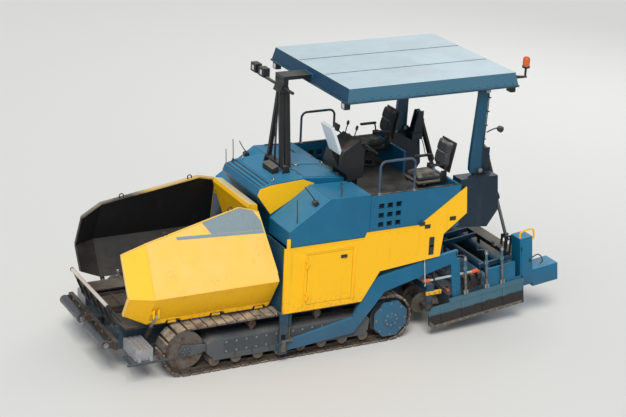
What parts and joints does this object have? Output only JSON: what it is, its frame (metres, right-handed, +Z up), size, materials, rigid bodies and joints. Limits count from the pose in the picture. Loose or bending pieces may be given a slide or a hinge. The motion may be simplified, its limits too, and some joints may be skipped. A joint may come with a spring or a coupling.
{
  "type": "tracked asphalt paver",
  "caption": "Tracked asphalt paver with a folding-wing hopper, slat conveyors, augers, a canopy over the operators' platform and an extending screed lifted behind.",
  "frame": {"origin": "on the ground at the middle of the machine's length and width", "axes": "+X forward to the hopper, +Y to the machine's left, +Z up"},
  "size_m": [7, 2.554, 4],
  "materials": {
    "yellow_paint": "gloss, dusty",
    "teal_paint": "gloss, dusty",
    "dark_teal_paint": "satin, dirty",
    "black_paint": "satin, dirty",
    "roof_paint": "satin",
    "worn_steel": "rough, rusty and worn bright on edges",
    "bright_steel": "satin",
    "seat_fabric": "matt",
    "grey_plastic": "matt",
    "lamp": "clear over a bright reflector",
    "orange_lens": "glossy, see-through lens",
    "engine_iron": "matt paint"
  },
  "bodies": {
    "chassis": {"chassis_frame": "dark_teal_paint", "engine_block": "engine_iron", "hopper_floor": "black_paint", "hopper_rear_wall": "yellow_paint", "conveyor_slats": "worn_steel", "tracks": "worn_steel", "track_frames": "dark_teal_paint", "track_rollers": "worn_steel", "drive_sprockets": "teal_paint", "hood": "teal_paint", "hood_cheeks": "yellow_paint", "shoulders": "teal_paint", "platform_body": "teal_paint", "platform_deck": "black_paint", "rear_housings": "dark_teal_paint", "side_panels": "yellow_paint", "handrails": "bright_steel", "operator_seats": "seat_fabric", "operator_console": "grey_plastic", "canopy_feet": "black_paint"},
    "side_door_left": {"side_door_left": "yellow_paint"},
    "side_door_right": {"side_door_right": "yellow_paint"},
    "canopy_posts": {"canopy_rear_posts": "teal_paint"},
    "canopy_front": {"canopy_front_frame": "black_paint"},
    "canopy": {"canopy_frame": "dark_teal_paint", "canopy_roof": "roof_paint", "work_lamps": "lamp", "beacon": "orange_lens"},
    "wing_left": {"hopper_wing_left": "yellow_paint"},
    "wing_right": {"hopper_wing_right": "yellow_paint"},
    "wing_barrel_left": {"wing_barrel_left": "black_paint"},
    "wing_barrel_right": {"wing_barrel_right": "black_paint"},
    "wing_rod_left": {"wing_rod_left": "bright_steel"},
    "wing_rod_right": {"wing_rod_right": "bright_steel"},
    "apron": {"front_apron": "black_paint"},
    "push_beam": {"push_beam": "black_paint"},
    "push_roller_left": {"push_roller_left": "bright_steel"},
    "push_roller_right": {"push_roller_right": "bright_steel"},
    "auger_frame": {"auger_frame": "dark_teal_paint"},
    "auger_left": {"auger_left": "worn_steel"},
    "auger_right": {"auger_right": "worn_steel"},
    "tow_blocks": {"tow_blocks": "bright_steel"},
    "screed": {"tow_arms": "teal_paint", "screed_base": "dark_teal_paint", "screed_walkway": "black_paint"},
    "extension_left": {"screed_extension_left": "teal_paint", "end_gate_left": "black_paint"},
    "extension_right": {"screed_extension_right": "teal_paint", "end_gate_right": "black_paint"},
    "lift_barrels": {"lift_barrels": "black_paint"},
    "lift_rods": {"lift_rods": "bright_steel"}
  },
  "joints": [
    {"name": "door_left", "type": "hinge", "parent": "chassis", "child": "side_door_left", "pos_m": [0.7, 1.264, 1.185], "axis": [0, 0, -1], "range_deg": [0, 95]},
    {"name": "wing_left", "type": "hinge", "parent": "chassis", "child": "wing_left", "pos_m": [1.09, 0.895, 0.735], "axis": [-1, 0, 0], "range_deg": [0, 45]},
    {"name": "wing_barrel_left", "type": "hinge", "parent": "chassis", "child": "wing_barrel_left", "pos_m": [2.835, 0.715, 0.43], "axis": [-1, 0, 0], "range_deg": [-1, 20.5]},
    {"name": "wing_rod_left", "type": "slide", "parent": "wing_barrel_left", "child": "wing_rod_left", "axis": [0, 0.6023, 0.7983], "range_m": [-0.085, 0.005]},
    {"name": "push_roller_left", "type": "hinge", "parent": "push_beam", "child": "push_roller_left", "pos_m": [3.435, 0.465, 0.5], "axis": [0, 1, 0], "continuous": true},
    {"name": "auger_left", "type": "hinge", "parent": "auger_frame", "child": "auger_left", "pos_m": [-1.35, 0.62, 0.43], "axis": [0, 1, 0], "continuous": true},
    {"name": "extension_left", "type": "slide", "parent": "screed", "child": "extension_left", "axis": [0, 1, 0], "range_m": [0, 1.1]},
    {"name": "door_right", "type": "hinge", "parent": "chassis", "child": "side_door_right", "pos_m": [0.7, -1.264, 1.185], "axis": [0, 0, 1], "range_deg": [0, 95]},
    {"name": "wing_right", "type": "hinge", "parent": "chassis", "child": "wing_right", "pos_m": [1.09, -0.895, 0.735], "axis": [1, 0, 0], "range_deg": [0, 45]},
    {"name": "wing_barrel_right", "type": "hinge", "parent": "chassis", "child": "wing_barrel_right", "pos_m": [2.835, -0.715, 0.43], "axis": [1, 0, 0], "range_deg": [-1, 20.5]},
    {"name": "wing_rod_right", "type": "slide", "parent": "wing_barrel_right", "child": "wing_rod_right", "axis": [0, -0.6023, 0.7983], "range_m": [-0.085, 0.005]},
    {"name": "push_roller_right", "type": "hinge", "parent": "push_beam", "child": "push_roller_right", "pos_m": [3.435, -0.465, 0.5], "axis": [0, 1, 0], "continuous": true},
    {"name": "auger_right", "type": "hinge", "parent": "auger_frame", "child": "auger_right", "pos_m": [-1.35, -0.62, 0.43], "axis": [0, 1, 0], "continuous": true},
    {"name": "extension_right", "type": "slide", "parent": "screed", "child": "extension_right", "axis": [0, -1, 0], "range_m": [0, 1.1]},
    {"name": "canopy_fold", "type": "hinge", "parent": "chassis", "child": "canopy_posts", "pos_m": [-2.065, 0, 2.39], "axis": [0, -1, 0], "range_deg": [0, 48]},
    {"name": "canopy_level", "type": "hinge", "parent": "canopy_posts", "child": "canopy", "pos_m": [-2.095, 0, 3.56], "axis": [0, -1, 0], "range_deg": [-48.5, 0.5]},
    {"name": "canopy_front", "type": "hinge", "parent": "chassis", "child": "canopy_front", "pos_m": [0.6, 0, 2.47], "axis": [0, -1, 0], "range_deg": [-0.5, 48.5]},
    {"name": "apron", "type": "hinge", "parent": "chassis", "child": "apron", "pos_m": [3.225, 0, 0.655], "axis": [0, 1, 0], "range_deg": [0, 50]},
    {"name": "push_beam_swivel", "type": "hinge", "parent": "chassis", "child": "push_beam", "pos_m": [3.235, 0, 0.5], "axis": [0, 0, 1], "range_deg": [-5, 5]},
    {"name": "auger_height", "type": "slide", "parent": "chassis", "child": "auger_frame", "axis": [0, 0, 1], "range_m": [0, 0.1]},
    {"name": "tow_point_level", "type": "slide", "parent": "chassis", "child": "tow_blocks", "axis": [0, 0, 1], "range_m": [0, 0.15]},
    {"name": "screed_lift", "type": "hinge", "parent": "tow_blocks", "child": "screed", "pos_m": [1.02, 0, 0.22], "axis": [0, 1, 0], "range_deg": [-3, 1]},
    {"name": "lift_barrel", "type": "hinge", "parent": "chassis", "child": "lift_barrels", "pos_m": [-2.23, 0, 2.64], "axis": [0, 1, 0], "range_deg": [-2, 2]},
    {"name": "lift_rod", "type": "slide", "parent": "lift_barrels", "child": "lift_rods", "axis": [-0.3359, 0, -0.9419], "range_m": [-0.25, 0.25]}
  ],
  "couplings": [
    {"joint": "wing_barrel_left", "follows": "wing_left", "ratio": 0.42959},
    {"joint": "wing_rod_left", "follows": "wing_left", "m_per_rad": -0.08839},
    {"joint": "wing_barrel_right", "follows": "wing_right", "ratio": 0.42959},
    {"joint": "wing_rod_right", "follows": "wing_right", "m_per_rad": -0.08839},
    {"joint": "canopy_level", "follows": "canopy_fold", "ratio": -1},
    {"joint": "canopy_front", "follows": "canopy_fold", "ratio": 1},
    {"joint": "lift_barrel", "follows": "screed_lift", "ratio": 0.21257},
    {"joint": "lift_rod", "follows": "screed_lift", "m_per_rad": -3.8732}
  ]
}
